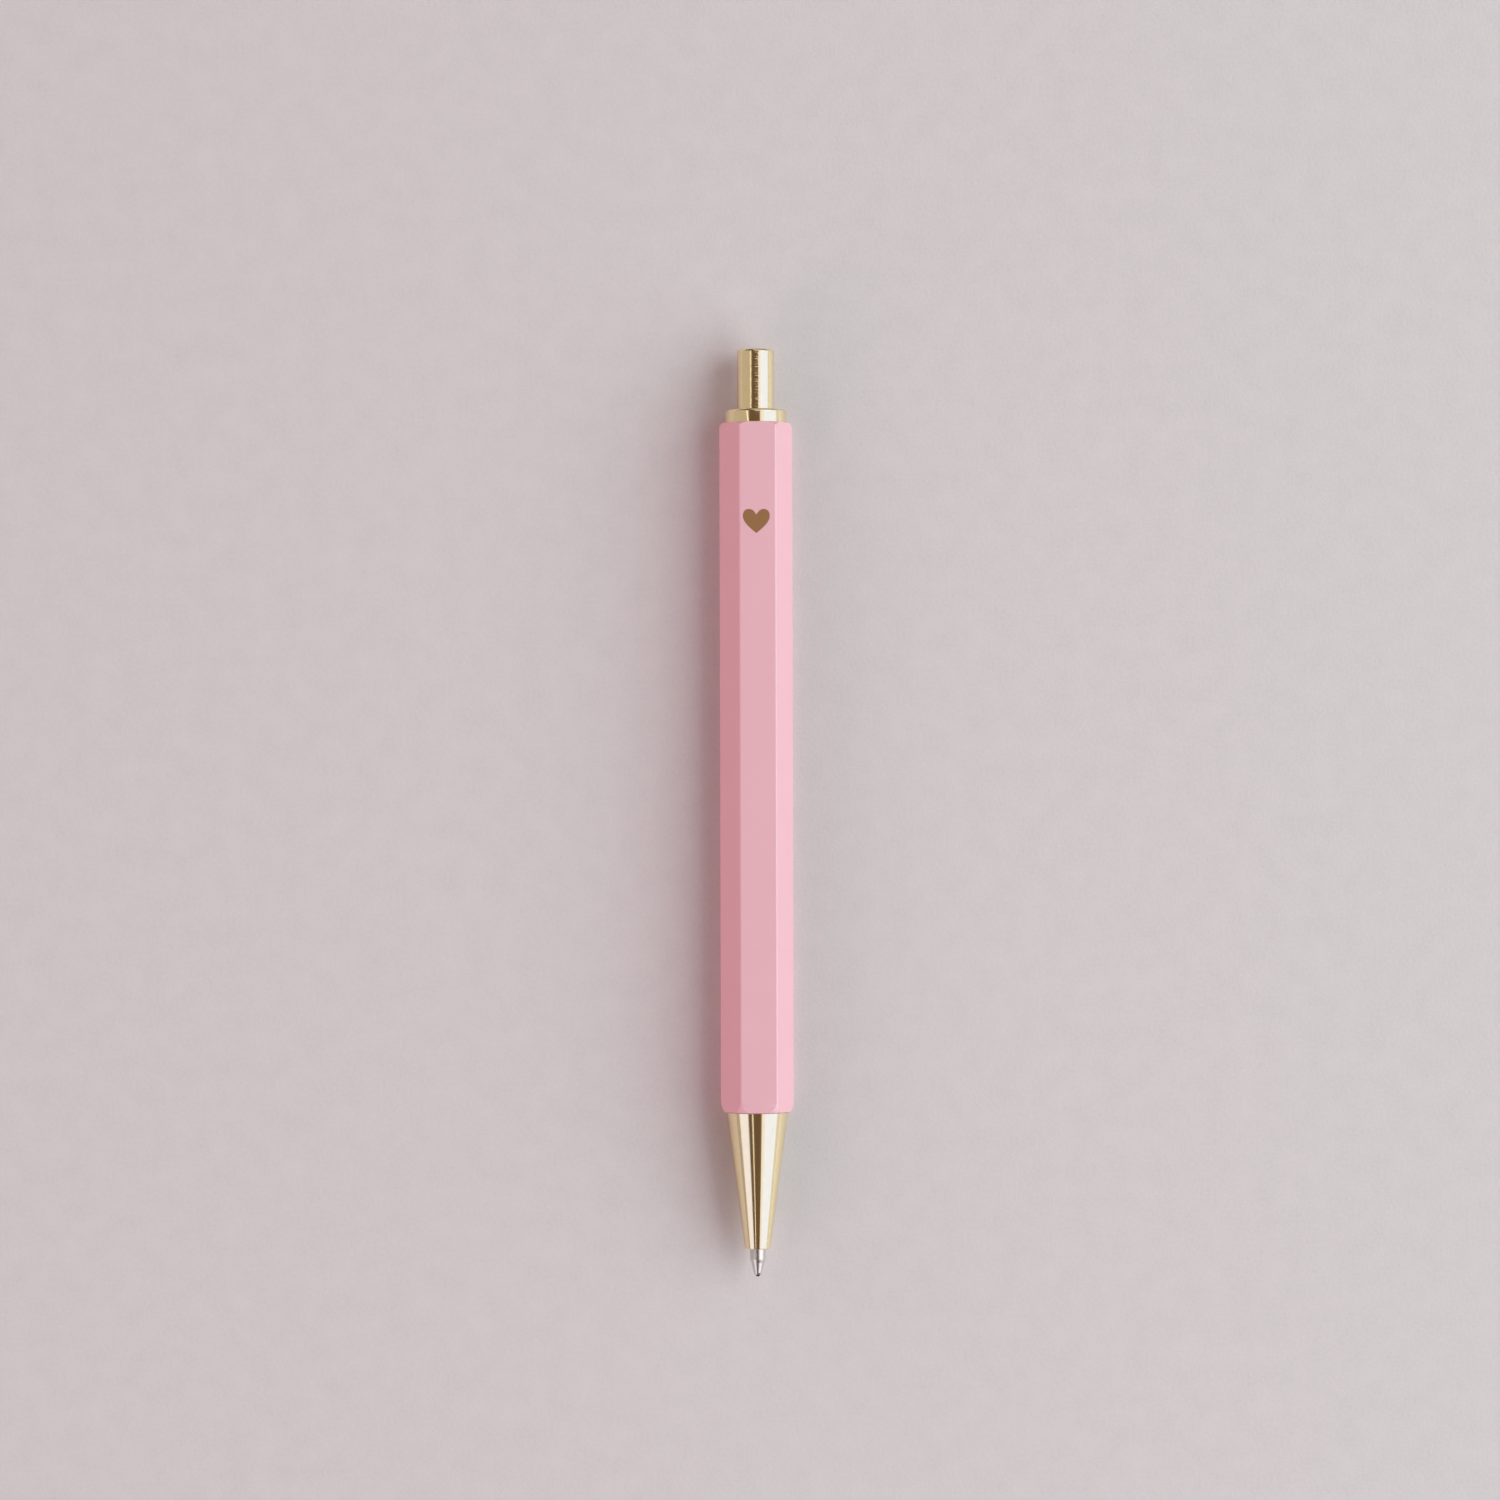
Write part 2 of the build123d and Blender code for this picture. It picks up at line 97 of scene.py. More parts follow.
# Sockets of a Mix node that mixes colours, and the length of one wave of a Wave texture
MIX_FROM, MIX_TO, MIXED = 6, 7, 2
WAVE_LENGTH = math.tau / 20


def ends(node):
    """Stations of a CAD piece's front and rear ends along the pen."""
    low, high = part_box(node)
    return low.y, high.y


def radius_of(node):
    """Radius of a turned CAD piece where it is thickest."""
    low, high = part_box(node)
    return (high.z - low.z) / 2


# Properties


def size(name, description, default):
    """A length that a user may change."""
    return FloatProperty(
        name=name, description=description, default=default, min=0, precision=6, unit="LENGTH"
    )


def colour(name, description, default):
    """A colour that a user may change, in linear light."""
    return FloatVectorProperty(
        name=name, description=description, default=default, size=3, min=0, max=1, subtype="COLOR"
    )


def light(name, description, default):
    """The brightness of a lamp in each colour, as a mirror shows it."""
    return FloatVectorProperty(
        name=name,
        description=description,
        default=default,
        size=3,
        min=0,
        soft_max=4,
        subtype="COLOR",
    )


class PenSizes(bpy.types.PropertyGroup):
    """Sizes of the visible pieces that the frame's boxes don't give."""

    edge_round: size("Barrel edge round", "Radius of the barrel's six long edges", 0.00035)
    front_land: size("Front land", "How far the front end stands out from the flats", 0.00025)
    front_turned: size("Turned front", "Length of the round on the barrel's front corners", 0.0017)
    rear_chamfer: size("Rear chamfer", "Chamfer of the barrel's rear corners", 0.0004)
    edge_break: size("Edge break", "Small round on edges that are otherwise sharp", 0.00005)
    seam: size("Seam", "Gap between the barrel and the nose cone", 0.00005)
    thread_pitch: size("Thread pitch", "Pitch of the nose cone's thread", 0.00075)
    thread_depth: size("Thread depth", "Depth of the nose cone's thread", 0.00024)
    thread_clearance: size("Thread clearance", "Gap between the two threads' crests", 0.00005)
    cone_mouth: size("Cone mouth", "Outer radius of the nose cone's mouth", 0.001925)
    mouth_round: size("Mouth round", "Radius on the nose cone's mouth", 0.00012)
    tip_bore: size("Tip bore", "Radius of the hole that the writing tip runs in", 0.00125)
    spring_bore: size("Spring bore", "Radius of the nose cone's bore round the spring", 0.0022)
    spring_seat: size("Spring seat", "Distance of the seat behind the cone's mouth", 0.005391)
    refill_step: size("Refill step", "Distance of the wide bore behind the cone's mouth", 0.013943)
    refill_clearance: size("Refill clearance", "Gap between the refill and the cone's bore", 0.0002)
    shank_wall: size("Shank wall", "Wall of the nose cone's threaded shank", 0.00055)
    barrel_clearance: size("Barrel clearance", "Gap between the refill and the barrel", 0.00035)
    socket_relief: size("Socket relief", "Depth of the barrel's socket beyond the shank", 0.0006)
    glued_clearance: size("Glued clearance", "Gap of a glued or pressed fit", 0.00002)
    collar_round: size("Collar round", "Radius on the collar's rear edge", 0.0004)
    button_clearance: size("Button clearance", "Gap between the button and the collar", 0.00006)
    button_round: size("Button round", "Radius on the button's end", 0.00045)
    button_wall: size("Button wall", "Wall of the button's cup", 0.0005)
    button_end: size("Button end", "Thickness of the button's end", 0.0012)
    neck_radius: size("Neck radius", "Radius of the refill's neck, inside the spring", 0.0015)
    neck_flange: size("Neck flange", "Thickness of the refill's shoulder", 0.0008)
    neck_channel: size("Neck channel", "Radius of the ink's way through the neck", 0.0006)
    tip_spigot: size("Tip spigot", "Radius of the tip's spigot in the neck", 0.00085)
    spigot_length: size("Spigot length", "Length of the tip's spigot", 0.004)
    tube_wall: size("Tube wall", "Wall of the ink tube", 0.0003)
    crimp_depth: size("Crimp depth", "Depth of the crimped ring round the ink tube", 0.00012)
    crimp_place: size("Crimp place", "Distance of the ring behind the tube's front end", 0.0022)
    ball_proud: size("Ball proud", "How far the ball stands out of the tip", 0.00025)
    lip_wall: size("Lip wall", "Wall of the tip's lip round the ball", 0.00006)
    lip_height: size("Lip height", "Length of the tip's rolled lip", 0.0003)
    point_wall: size("Point wall", "Wall of the tip behind the lip", 0.0002)
    point_taper: size("Point taper", "Length of the tip's slender taper", 0.00155)
    tip_shoulder: size("Tip shoulder", "Step of the tip's shoulder", 0.00018)
    shoulder_length: size("Shoulder length", "Length of the tip's shoulder", 0.0005)
    feed_radius: size("Feed radius", "Radius of the ink's way behind the ball", 0.00018)
    tip_channel: size("Tip channel", "Radius of the ink's way through the tip", 0.00045)
    wire: size("Spring wire", "Diameter of the spring's wire", 0.0004)
    heart_width: size("Heart width", "Width of the foil heart", 0.004)
    heart_height: size("Heart height", "Height of the foil heart", 0.0036)
    heart_place: size("Heart place", "Distance of the heart from the barrel's rear end", 0.0149)
    heart_shift: size("Heart shift", "How far the heart lies left of the flat's middle", 0.0002)
    foil: size("Foil", "Thickness of the heart's foil", 0.000012)


class PenColours(bpy.types.PropertyGroup):
    """Colours of the finishes."""

    lacquer: colour("Lacquer", "Satin lacquer of the barrel", (0.83, 0.388, 0.446))
    gold: colour("Gold plate", "Plating of the cone, collar and button", (0.97, 0.80, 0.50))
    foil: colour("Gold foil", "Foil of the heart", (0.575, 0.3, 0.135))
    nickel_silver: colour("Nickel silver", "Writing tip", (0.72, 0.69, 0.66))
    carbide: colour("Carbide", "Writing ball", (0.07, 0.065, 0.07))
    spring_steel: colour("Spring steel", "Return spring", (0.55, 0.55, 0.56))
    refill_steel: colour("Refill steel", "Ink tube", (0.62, 0.61, 0.60))
    refill_plastic: colour("Refill plastic", "The refill's neck and end plug", (0.01, 0.014, 0.073))
    housing_plastic: colour("Housing plastic", "Cam housing", (0.014, 0.014, 0.016))
    mechanism_plastic: colour("Mechanism plastic", "Plunger", (0.69, 0.69, 0.66))
    rotor_plastic: colour("Rotor plastic", "Rotor", (0.26, 0.27, 0.3))
    ink: colour("Ink", "Ink in the tube", (0.002, 0.003, 0.014))


class PenStage(bpy.types.PropertyGroup):
    """The paper that the pen lies on, the light and the camera."""

    paper: colour("Paper", "Colour of the paper under the pen", (0.692, 0.592, 0.589))
    panel: light("Panel", "Pale panel on the left in front", (0.55, 0.6, 0.78))
    front_fill: light("Front fill", "Bright panel far in front on the left", (2.3, 1.29, 1.43))
    rear_fill: light("Rear fill", "Bright panel far behind on the left", (1.66, 1.34, 1.45))
    strip: light("Strip", "Narrow strip above on the left", (1.06, 1.04, 1.02))
    gold_lamp: light("Gold's lamp", "The soft lamp as the gold shows it", (0.5, 0.71, 1.3))
    gold_panel: light("Gold's panel", "The pale panel as the gold shows it", (0.51, 0.605, 0.95))
    rim: light("Rim lamp", "Panel behind that the gold's rear rims show", (0.62, 0.6, 0.56))
    tip_lamp: light("Tip's lamp", "The soft lamp as the writing tip shows it", (1.3, 1.17, 1.22))
    tip_fill: light("Tip's fill", "The front fill as the writing tip shows it", (0.78, 0.56, 0.45))
    room: colour("Room", "Light of the room across the pen", (0.46, 0.41, 0.39))
    rear_room: colour("Room behind", "Light of the room left of the button", (0.54, 0.49, 0.42))
    far: colour("Far ends", "Light of the room beyond the pen's ends", (0.1, 0.09, 0.085))
    overhead: colour("Overhead", "Dim light from above the camera", (0.146, 0.098, 0.063))
    camera_distance: size("Camera distance", "Distance of the camera from the pen's axis", 0.775)
    view_width: size("View width", "Width of the picture at the pen's axis", 0.225)


# Mesh tools


def rounded(corners):
    """Closed outline through corners (radius, station, round), with each round as an arc."""
    points = []
    for i, (radius, station, bend) in enumerate(corners):
        here = Vector((radius, station))
        if not bend:
            points.append(here)
            continue
        back = (Vector(corners[i - 1][:2]) - here).normalized()
        on = (Vector(corners[(i + 1) % len(corners)][:2]) - here).normalized()
        half = math.acos(max(-1, min(1, back.dot(on)))) / 2
        middle = here + (back + on).normalized() * bend / math.sin(half)
        spoke = here + back * bend / math.tan(half) - middle
        turn = math.copysign(math.pi - 2 * half, back.x * on.y - back.y * on.x)
        for step in range(ROUND_STEPS + 1):
            points.append(middle + Matrix.Rotation(-turn * step / ROUND_STEPS, 2) @ spoke)
    return points


def finished(name, shape):
    """Makes a piece from a bmesh, shaded smooth up to its sharp edges."""
    bmesh.ops.recalc_face_normals(shape, faces=shape.faces)
    data = bpy.data.meshes.new(name)
    shape.to_mesh(data)
    shape.free()
    data.shade_smooth()
    data.set_sharp_from_angle(angle=SHARP_ANGLE)
    piece = bpy.data.objects.new(name, data)
    bpy.context.scene.collection.objects.link(piece)
    shading = piece.modifiers.new("shading", "WEIGHTED_NORMAL")
    shading.keep_sharp = True
    return piece


def turned(corners, sides=TURNED_SIDES):
    """Spins a closed half outline about the pen's axis."""
    shape = bmesh.new()
    points = [shape.verts.new((p.x, p.y, AXIS_HEIGHT)) for p in rounded(corners)]
    pairs = zip(points, points[1:] + points[:1])
    edges = [shape.edges.new(pair) for pair in pairs if max(v.co.x for v in pair) > WELD]
    bmesh.ops.spin(
        shape,
        geom=points + edges,
        cent=(0, 0, AXIS_HEIGHT),
        axis=PEN_AXIS,
        angle=math.tau,
        steps=sides,
        use_merge=True,
    )
    bmesh.ops.remove_doubles(shape, verts=shape.verts, dist=WELD)
    return shape


def evenly(radius, start, end, step):
    """Corners along a straight run, so that a thread can be cut in it."""
    count = max(1, round(abs(end - start) / step))
    return [(radius, start + (end - start) * i / count, 0) for i in range(count + 1)]


def cut_thread(shape, radius, start, end, pitch, depth):
    """Cuts a thread into the wall at this radius, outward or, for a negative depth, inward."""
    for vertex in shape.verts:
        arm = Vector((vertex.co.x, 0, vertex.co.z - AXIS_HEIGHT))
        if abs(arm.length - radius) > ON_WALL or not start < vertex.co.y < end:
            continue
        turns = vertex.co.y / pitch - math.atan2(arm.x, arm.z) / math.tau
        groove = 1 - abs(2 * (turns % 1) - 1)
        run_out = min(1, (vertex.co.y - start) / pitch, (end - vertex.co.y) / pitch)
        vertex.co += arm.normalized() * depth * groove * run_out


def around(radius, angle, station):
    """Point at an angle round the pen's axis, from the top towards +X."""
    return Vector((radius * math.sin(angle), station, AXIS_HEIGHT + radius * math.cos(angle)))


def skinned(rings):
    """Skins rings of equally many points, with the last ring joined to the first."""
    shape = bmesh.new()
    loops = [[shape.verts.new(point) for point in ring] for ring in rings]
    for here, there in zip(loops, loops[1:] + loops[:1]):
        for i in range(len(here)):
            shape.faces.new((here[i - 1], here[i], there[i], there[i - 1]))
    return shape


def fit(piece, material, node, body):
    """Gives a piece its finish, puts it in the place of a CAD node, and lets it ride on a body."""
    piece.data.materials.append(material)
    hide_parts(node)
    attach(piece, body)


# Finishes


class Finish:
    """A procedural material: a shader, and nodes that lay detail of a real size over the piece."""

    def __init__(self, name, metallic=0.0):
        self.material = bpy.data.materials.new(name)
        self.material.use_nodes = True
        self.tree = self.material.node_tree
        self.shader = self.tree.nodes["Principled BSDF"]
        self.shader.inputs["Metallic"].default_value = metallic
        self.place = self.tree.nodes.new("ShaderNodeTexCoord").outputs["Object"]

    def add(self, kind, **inputs):
        """Adds a node and fills its inputs with values or with other nodes' outputs."""
        node = self.tree.nodes.new(kind)
        for name, value in inputs.items():
            socket = node.inputs[name.replace("_", " ")]
            if isinstance(value, bpy.types.NodeSocket):
                self.tree.links.new(value, socket)
            else:
                socket.default_value = value
        return node

    def grain(self, spacing, detail=3.0, stretch=(1, 1, 1)):
        """Noise whose grains lie about this far apart."""
        spread = self.add("ShaderNodeMapping", Vector=self.place, Scale=stretch)
        spread = spread.outputs[0]
        noise = self.add("ShaderNodeTexNoise", Vector=spread, Scale=1 / spacing, Detail=detail)
        return noise.outputs["Fac"]

    def rings(self, pitch):
        """Turning marks round the pen's axis, this far apart, which wander a little."""
        wave = self.add(
            "ShaderNodeTexWave",
            Vector=self.place,
            Scale=WAVE_LENGTH / pitch,
            Distortion=5.0,
            Detail=3.0,
            Detail_Scale=1.5,
        )
        wave.bands_direction = "Y"
        return wave.outputs["Fac"]

    def between(self, factor, low, high):
        """Spreads a factor from 0 to 1 over the range from low to high."""
        return self.add("ShaderNodeMapRange", Value=factor, To_Min=low, To_Max=high).outputs[0]

    def paint(self, factor, base, change):
        """Colours the piece between the base colour and the base times change."""
        mix = self.tree.nodes.new("ShaderNodeMix")
        mix.data_type = "RGBA"
        mix.inputs[MIX_FROM].default_value = (*base, 1)
        mix.inputs[MIX_TO].default_value = (*[min(1, part * change) for part in base], 1)
        self.tree.links.new(factor, mix.inputs[0])
        self.tree.links.new(mix.outputs[MIXED], self.shader.inputs["Base Color"])

    def roughen(self, factor, low, high):
        """Lets the roughness follow a factor."""
        self.tree.links.new(self.between(factor, low, high), self.shader.inputs["Roughness"])

    def emboss(self, *layers):
        """Raises the surface by layers of (factor, height)."""
        normal = None
        for factor, height in layers:
            bump = self.add("ShaderNodeBump", Height=factor, Distance=height, Strength=1.0)
            if normal:
                self.tree.links.new(normal, bump.inputs["Normal"])
            normal = bump.outputs["Normal"]
        self.tree.links.new(normal, self.shader.inputs["Normal"])


def satin_lacquer(base):
    """Sprayed satin lacquer with a soft orange peel."""
    finish = Finish("satin lacquer")
    cloud = finish.grain(spacing=0.006, detail=2.0)
    peel = finish.grain(spacing=0.0005, detail=2.0)
    speck = finish.grain(spacing=0.00012, detail=2.0)
    finish.paint(cloud, base, change=0.95)
    finish.roughen(peel, low=0.50, high=0.60)
    finish.emboss((peel, 2.5 * MICRON), (speck, 0.6 * MICRON))
    finish.shader.inputs["IOR"].default_value = 1.7
    finish.shader.inputs["Specular IOR Level"].default_value = 1.0
    return finish.material


def gold_plate(name, base, ring_pitch, ring_height, rough):
    """Bright gold plate over a turned piece, with the turning marks left in it."""
    finish = Finish(name, metallic=1.0)
    marks = finish.rings(ring_pitch)
    ripple = finish.grain(spacing=ring_pitch * 1.2)
    haze = finish.grain(spacing=0.0012)
    finish.paint(haze, base, change=0.93)
    finish.roughen(haze, low=rough * 0.8, high=rough * 1.2)
    finish.emboss((marks, ring_height * 0.75), (ripple, ring_height))
    return finish.material


def gold_foil(base):
    """Stamped foil, which takes on the grain of the lacquer under it."""
    finish = Finish("gold foil", metallic=1.0)
    speckle = finish.grain(spacing=0.00016, detail=4.0)
    finish.paint(speckle, base, change=0.8)
    finish.roughen(speckle, low=0.30, high=0.46)
    finish.emboss((speckle, 4 * MICRON))
    return finish.material


def turned_metal(name, base, ring_pitch, rough):
    """Plain turned metal with fine marks round it."""
    finish = Finish(name, metallic=1.0)
    marks = finish.rings(ring_pitch)
    haze = finish.grain(spacing=0.0008)
    finish.paint(haze, base, change=0.88)
    finish.roughen(marks, low=rough * 0.75, high=rough * 1.25)
    finish.emboss((marks, 1.2 * MICRON))
    return finish.material


def drawn_metal(name, base, rough):
    """Drawn tube or wire with fine lines along the pen."""
    finish = Finish(name, metallic=1.0)
    lines = finish.grain(spacing=0.00025, stretch=(1, 0.03, 1))
    finish.paint(lines, base, change=0.85)
    finish.roughen(lines, low=rough * 0.75, high=rough * 1.3)
    finish.emboss((lines, 2 * MICRON))
    return finish.material


def ball_carbide(base):
    """Lapped carbide with a pitted surface that carries the ink."""
    finish = Finish("ball carbide", metallic=1.0)
    pits = finish.grain(spacing=0.00006)
    finish.paint(pits, base, change=0.6)
    finish.roughen(pits, low=0.12, high=0.3)
    finish.emboss((pits, 1 * MICRON))
    return finish.material


def moulded_plastic(name, base):
    """Moulded plastic with a faint spark-eroded grain."""
    finish = Finish(name)
    flow = finish.grain(spacing=0.004, detail=2.0)
    spark = finish.grain(spacing=0.00025)
    finish.paint(flow, base, change=0.92)
    finish.roughen(spark, low=0.34, high=0.48)
    finish.emboss((spark, 3 * MICRON))
    return finish.material


def wet_ink(base):
    """Dark ink, glossy where it wets the tube."""
    finish = Finish("ink")
    swirl = finish.grain(spacing=0.002, detail=2.0)
    finish.paint(swirl, base, change=1.6)
    finish.roughen(swirl, low=0.06, high=0.16)
    finish.emboss((swirl, 4 * MICRON))
    return finish.material


def paper(base):
    """Matt drawing paper with a fine tooth."""
    finish = Finish("paper")
    cloud = finish.grain(spacing=0.004, detail=6.0)
    tooth = finish.grain(spacing=0.0005, detail=4.0)
    blend = finish.add("ShaderNodeMath", Value=cloud)
    blend.operation = "MULTIPLY"
    finish.tree.links.new(tooth, blend.inputs[1])
    finish.paint(blend.outputs[0], base, change=0.8)
    finish.roughen(tooth, low=0.45, high=0.6)
    finish.emboss((tooth, 40 * MICRON))
    finish.shader.inputs["Specular IOR Level"].default_value = 0.8
    return finish.material


# Pieces


def half_flat(edge_round):
    """Half the width of a flat between its two edge rounds."""
    return (HALF_FLATS - edge_round) * math.tan(HALF_SIDE)


def hex_radius(angle, edge_round):
    """Radius of the barrel's outline at an angle from the middle of a flat."""
    if abs(angle) <= math.atan2(half_flat(edge_round), HALF_FLATS):
        return HALF_FLATS / math.cos(angle)
    centre = (HALF_FLATS - edge_round) / math.cos(HALF_SIDE)
    off = HALF_SIDE - abs(angle)
    return centre * math.cos(off) + math.sqrt(edge_round**2 - (centre * math.sin(off)) ** 2)


def hex_ring(station, turned_radius, edge_round):
    """Points round the barrel, where turning has left nothing beyond a radius.

    Where the turned cut reaches a flat, points lie on the line in which the two meet.
    """
    straight = half_flat(edge_round)
    flat_end = math.atan2(straight, HALF_FLATS)
    if turned_radius < math.hypot(HALF_FLATS, straight):
        flat_end = math.acos(HALF_FLATS / turned_radius)
    points = []
    for side in range(HEX_SIDES):
        middle = math.tau * side / HEX_SIDES
        angles = [flat_end * (2 * i / FLAT_STEPS - 1) for i in range(FLAT_STEPS)]
        gap = 2 * (HALF_SIDE - flat_end)
        angles += [flat_end + gap * i / CORNER_STEPS for i in range(CORNER_STEPS)]
        for angle in angles:
            from_flat = angle if angle <= HALF_SIDE else angle - 2 * HALF_SIDE
            radius = min(turned_radius, hex_radius(from_flat, edge_round))
            points.append(around(radius, middle + angle, station))
    return points


def bore_ring(station, radius):
    """As many points as a ring of the barrel's outline has, round one of its bores."""
    count = HEX_SIDES * (FLAT_STEPS + CORNER_STEPS)
    first = -HALF_SIDE
    return [around(radius, first + math.tau * i / count, station) for i in range(count)]


def barrel_outside(sizes):
    """Stations of the barrel's outside and the radius that turning leaves there, front to rear."""
    front, rear = ends("hex_barrel")
    corner = hex_radius(HALF_SIDE, sizes.edge_round)
    drop = corner - HALF_FLATS - sizes.front_land
    sweep = (drop**2 + sizes.front_turned**2) / (2 * drop)
    opening = math.asin(sizes.front_turned / sweep)
    outside = [(front, corner - drop - sizes.edge_break)]
    for i in range(TURNED_END_STEPS + 1):
        share = 1 - i / TURNED_END_STEPS
        angle = opening * share
        station = front + sizes.front_turned - sweep * math.sin(angle) + sizes.edge_break * share
        outside.append((station, corner - sweep * (1 - math.cos(angle))))
    outside.append((rear - sizes.rear_chamfer, corner))
    outside.append((rear - sizes.edge_break, corner - sizes.rear_chamfer + sizes.edge_break))
    outside.append((rear, corner - sizes.rear_chamfer - sizes.edge_break))
    return outside


def barrel_inside(sizes):
    """Stations and radii of the barrel's stepped bore, rear to front."""
    front, rear = ends("hex_barrel")
    housing_front = ends("cam_housing")[0]
    housing_bore = radius_of("cam_housing") + sizes.glued_clearance
    bore = radius_of("refill_tube") + sizes.barrel_clearance
    socket, socket_end = barrel_socket(sizes)
    inside = [
        (rear, housing_bore),
        (housing_front, housing_bore),
        (housing_front, bore),
        (socket_end, bore),
    ]
    wall = evenly(socket, socket_end, front, sizes.thread_pitch / THREAD_STEPS)
    return inside + [(station, radius) for radius, station, _ in wall]


def shank_radius(sizes):
    """Radius of the nose cone's shank over its thread."""
    return radius_of("refill_tube") + sizes.refill_clearance + sizes.shank_wall


def barrel_socket(sizes):
    """Radius and rear end of the barrel's socket for the shank."""
    return shank_radius(sizes) + sizes.thread_clearance, ends("nose_cone")[1] + sizes.socket_relief


def hex_barrel(sizes):
    """Hexagonal bar with rounded edges and turned ends, bored through and threaded in front."""
    outside = barrel_outside(sizes)
    rings = [hex_ring(station, radius, sizes.edge_round) for station, radius in outside]
    rings += [bore_ring(station, radius) for station, radius in barrel_inside(sizes)]
    shape = skinned(rings)
    front = ends("hex_barrel")[0]
    socket, socket_end = barrel_socket(sizes)
    cut_thread(shape, socket, front, socket_end, sizes.thread_pitch, sizes.thread_depth)
    return finished("hex_barrel_lacquered", shape)


def nose_cone(sizes):
    """Turned cone with a threaded shank, bored for the refill, the spring and the tip."""
    mouth, shank_end = ends("nose_cone")
    base = ends("hex_barrel")[0] - sizes.seam
    shank = shank_radius(sizes)
    root = shank - sizes.thread_depth
    thread_start = base + sizes.thread_pitch
    thread_end = shank_end - sizes.thread_depth
    refill_bore = radius_of("refill_tube") + sizes.refill_clearance
    spring_seat = mouth + sizes.spring_seat
    refill_step = mouth + sizes.refill_step
    corners = [
        (sizes.tip_bore, mouth, sizes.edge_break),
        (sizes.cone_mouth, mouth, sizes.mouth_round),
        (radius_of("nose_cone"), base, sizes.edge_break),
        (root, base, 0),
        (root, thread_start, 0),
        *evenly(shank, thread_start, thread_end, sizes.thread_pitch / THREAD_STEPS),
        (root, shank_end, 0),
        (refill_bore, shank_end, sizes.edge_break),
        (refill_bore, refill_step, 0),
        (sizes.spring_bore, refill_step, sizes.edge_break),
        (sizes.spring_bore, spring_seat, 0),
        (sizes.tip_bore, spring_seat, sizes.edge_break),
    ]
    shape = turned(corners)
    cut_thread(shape, shank, thread_start, thread_end, sizes.thread_pitch, -sizes.thread_depth)
    return finished("nose_cone_turned", shape)


def end_collar(sizes):
    """Ring behind the barrel, with a spigot pressed into it."""
    spigot_front, rear = ends("end_collar")
    seat = ends("hex_barrel")[1]
    spigot = radius_of("cam_housing")
    rim = radius_of("end_collar")
    bore = radius_of("push_button") + sizes.button_clearance
    corners = [
        (bore, spigot_front, 0),
        (spigot, spigot_front, sizes.edge_break),
        (spigot, seat, 0),
        (rim, seat, sizes.edge_break),
        (rim, rear, sizes.collar_round),
        (bore, rear, sizes.edge_break),
    ]
    return finished("end_collar_turned", turned(corners))


def push_button(sizes):
    """Cup with a rounded end."""
    front, rear = ends("push_button")
    outer = radius_of("push_button")
    inner = outer - sizes.button_wall
    floor = rear - sizes.button_end
    corners = [
        (inner, front, 0),
        (outer, front, sizes.edge_break),
        (outer, rear, sizes.button_round),
        (0, rear, 0),
        (0, floor, 0),
        (inner, floor, 0),
    ]
    return finished("push_button_turned", turned(corners))


def writing_tip(sizes):
    """Turned point: spigot, shank, shoulder, slender taper, and a lip rolled over the ball."""
    spigot_end = ends("writing_tip")[1]
    ball_front, ball_rear = ends("writing_ball")
    ball = (ball_rear - ball_front) / 2
    lip = ball_front + sizes.ball_proud
    point = lip + sizes.lip_height
    taper = point + sizes.point_taper
    shoulder = taper + sizes.shoulder_length
    outer = radius_of("writing_tip")
    neck = spigot_end - sizes.spigot_length
    seat = ball_rear + sizes.edge_break
    corners = [
        (ball, lip, 0),
        (ball + sizes.lip_wall, lip, sizes.edge_break / 2),
        (ball + sizes.point_wall, point, sizes.lip_height / 2),
        (outer - sizes.tip_shoulder, taper, sizes.edge_break),
        (outer, shoulder, sizes.shoulder_length / 2),
        (outer, neck, sizes.edge_break),
        (sizes.tip_spigot, neck, 0),
        (sizes.tip_spigot, spigot_end, sizes.edge_break),
        (sizes.tip_channel, spigot_end, 0),
        (sizes.tip_channel, seat + sizes.tip_channel, 0),
        (sizes.feed_radius, seat, 0),
        (ball + sizes.edge_break / 4, lip + ball / 2, 0),
    ]
    return finished("writing_tip_turned", turned(corners))


def writing_ball():
    """Ball in the point, as a half circle spun about the pen's axis."""
    front, rear = ends("writing_ball")
    ball = (rear - front) / 2
    arc = [math.pi * i / BALL_STEPS for i in range(BALL_STEPS + 1)]
    corners = [(ball * math.sin(a), front + ball * (1 - math.cos(a)), 0) for a in arc]
    return finished("writing_ball_lapped", turned(corners, BALL_STEPS))


def refill_neck(sizes):
    """Neck that holds the tip, with the spring's shoulder and the plug in the tube."""
    neck, plug_end = ends("refill_nose")
    tube = ends("refill_tube")[0]
    outer = radius_of("refill_tube")
    plug = outer - sizes.tube_wall - sizes.glued_clearance
    socket = sizes.tip_spigot + sizes.glued_clearance
    socket_end = neck + sizes.spigot_length + sizes.glued_clearance
    crimp = tube + sizes.crimp_place
    groove = sizes.crimp_depth * 2
    corners = [
        (socket, neck, sizes.edge_break),
        (sizes.neck_radius, neck, sizes.edge_break * 3),
        (sizes.neck_radius, tube - sizes.neck_flange, sizes.edge_break),
        (outer, tube - sizes.neck_flange, sizes.edge_break * 3),
        (outer, tube, sizes.edge_break),
        (plug, tube, 0),
        (plug, crimp - groove, 0),
        (plug - groove, crimp, 0),
        (plug, crimp + groove, 0),
        (plug, plug_end, sizes.edge_break),
        (sizes.neck_channel, plug_end, 0),
        (sizes.neck_channel, socket_end, 0),
        (socket, socket_end, 0),
    ]
    return finished("refill_nose_moulded", turned(corners))


